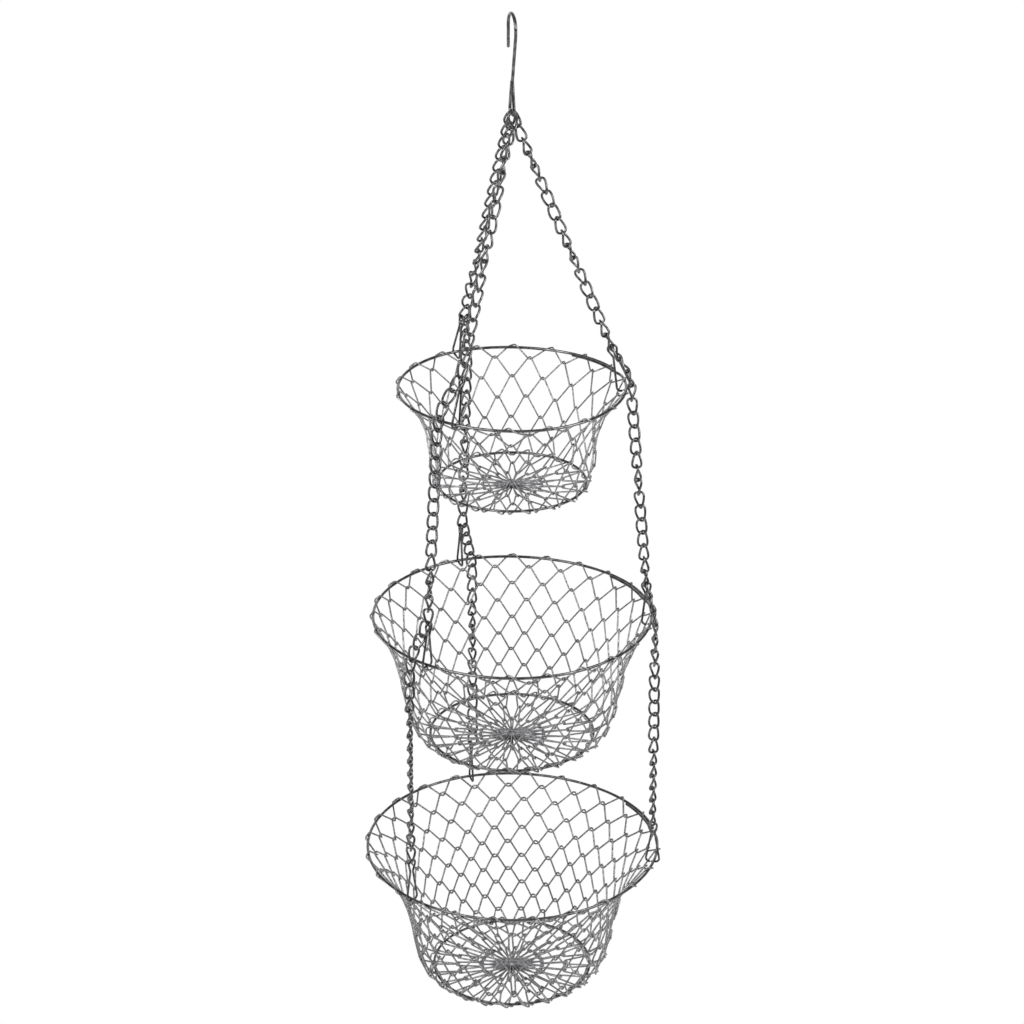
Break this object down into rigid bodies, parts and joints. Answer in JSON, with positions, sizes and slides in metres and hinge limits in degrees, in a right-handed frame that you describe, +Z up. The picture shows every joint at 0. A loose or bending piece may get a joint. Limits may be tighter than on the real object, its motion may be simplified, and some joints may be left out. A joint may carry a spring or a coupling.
{
  "type": "hanging fruit basket",
  "caption": "Hanging fruit basket: a wire hook, link chains and tiers of round bowls of hooked diamond wire net that sway on the chains.",
  "frame": {"origin": "the seat of the hook: the highest point of the inside of its top bend, which rests on the bar or ceiling hook that carries it", "axes": "+Z up along the line of hanging; +X towards the right-hand chain of the top bowl; -Y towards the viewer of the picture"},
  "size_m": [0.2786, 0.2786, 0.9291],
  "materials": {
    "hook": "polished steel wire, dark reflections",
    "chain": "bright drawn steel wire",
    "clip": "bright drawn steel wire, dark reflections",
    "rim": "bright plated wire",
    "ring": "bright plated wire",
    "net": "bright plated fine wire"
  },
  "bodies": {
    "hook": {"hook": "hook"},
    "top_tier": {"upper_chain_right": "chain", "upper_chain_front": "chain", "upper_chain_back": "chain", "top_anchor_right": "chain", "top_anchor_front": "chain", "top_anchor_back": "chain", "top_clip_right": "clip", "top_clip_front": "clip", "top_clip_back": "clip", "top_rim": "rim", "top_wall_net": "net", "top_base_ring": "ring", "top_floor_net": "net", "top_centre_ring": "ring"},
    "mid_chain_right": {"mid_chain_right": "chain"},
    "mid_chain_front": {"mid_chain_front": "chain"},
    "mid_chain_back": {"mid_chain_back": "chain"},
    "mid_tier": {"mid_anchor_right": "chain", "mid_anchor_front": "chain", "mid_anchor_back": "chain", "mid_clip_right": "clip", "mid_clip_front": "clip", "mid_clip_back": "clip", "mid_rim": "rim", "mid_wall_net": "net", "mid_base_ring": "ring", "mid_floor_net": "net", "mid_centre_ring": "ring"},
    "low_chain_right": {"low_chain_right": "chain"},
    "low_chain_front": {"low_chain_front": "chain"},
    "low_chain_back": {"low_chain_back": "chain"},
    "low_tier": {"low_anchor_right": "chain", "low_anchor_front": "chain", "low_anchor_back": "chain", "low_clip_right": "clip", "low_clip_front": "clip", "low_clip_back": "clip", "low_rim": "rim", "low_wall_net": "net", "low_base_ring": "ring", "low_floor_net": "net", "low_centre_ring": "ring"}
  },
  "joints": [
    {"name": "eye_swing", "type": "hinge", "parent": "hook", "child": "top_tier", "pos_m": [0, 0, -0.085], "axis": [-0.2588, 0.9659, 0], "range_deg": [-15, 15]},
    {"name": "mid_sway", "type": "hinge", "parent": "top_tier", "child": "mid_chain_right", "pos_m": [0.10456, -0.01354, -0.33845], "axis": [0, 1, 0], "range_deg": [-10, 10]},
    {"name": "mid_sway_front", "type": "hinge", "parent": "top_tier", "child": "mid_chain_front", "pos_m": [-0.064, -0.08378, -0.33845], "axis": [0, 1, 0], "range_deg": [-10, 10]},
    {"name": "mid_sway_back", "type": "hinge", "parent": "top_tier", "child": "mid_chain_back", "pos_m": [-0.04055, 0.09732, -0.33845], "axis": [0, 1, 0], "range_deg": [-10, 10]},
    {"name": "mid_level", "type": "hinge", "parent": "mid_chain_right", "child": "mid_tier", "pos_m": [0.1188, -0.01538, -0.50293], "axis": [0, 1, 0], "range_deg": [-10, 10]},
    {"name": "low_sway", "type": "hinge", "parent": "mid_tier", "child": "low_chain_right", "pos_m": [0.12818, -0.03025, -0.56278], "axis": [1, 0, 0], "range_deg": [-10, 10]},
    {"name": "low_sway_front", "type": "hinge", "parent": "mid_tier", "child": "low_chain_front", "pos_m": [-0.09029, -0.09589, -0.56278], "axis": [1, 0, 0], "range_deg": [-10, 10]},
    {"name": "low_sway_back", "type": "hinge", "parent": "mid_tier", "child": "low_chain_back", "pos_m": [-0.03789, 0.12613, -0.56278], "axis": [1, 0, 0], "range_deg": [-10, 10]},
    {"name": "low_level", "type": "hinge", "parent": "low_chain_right", "child": "low_tier", "pos_m": [0.12935, -0.03053, -0.74058], "axis": [1, 0, 0], "range_deg": [-10, 10]}
  ],
  "couplings": [
    {"joint": "mid_sway_front", "follows": "mid_sway", "ratio": 1},
    {"joint": "mid_sway_back", "follows": "mid_sway", "ratio": 1},
    {"joint": "mid_level", "follows": "mid_sway", "ratio": -0.8801},
    {"joint": "low_sway_front", "follows": "low_sway", "ratio": 1},
    {"joint": "low_sway_back", "follows": "low_sway", "ratio": 1},
    {"joint": "low_level", "follows": "low_sway", "ratio": -0.99096}
  ]
}
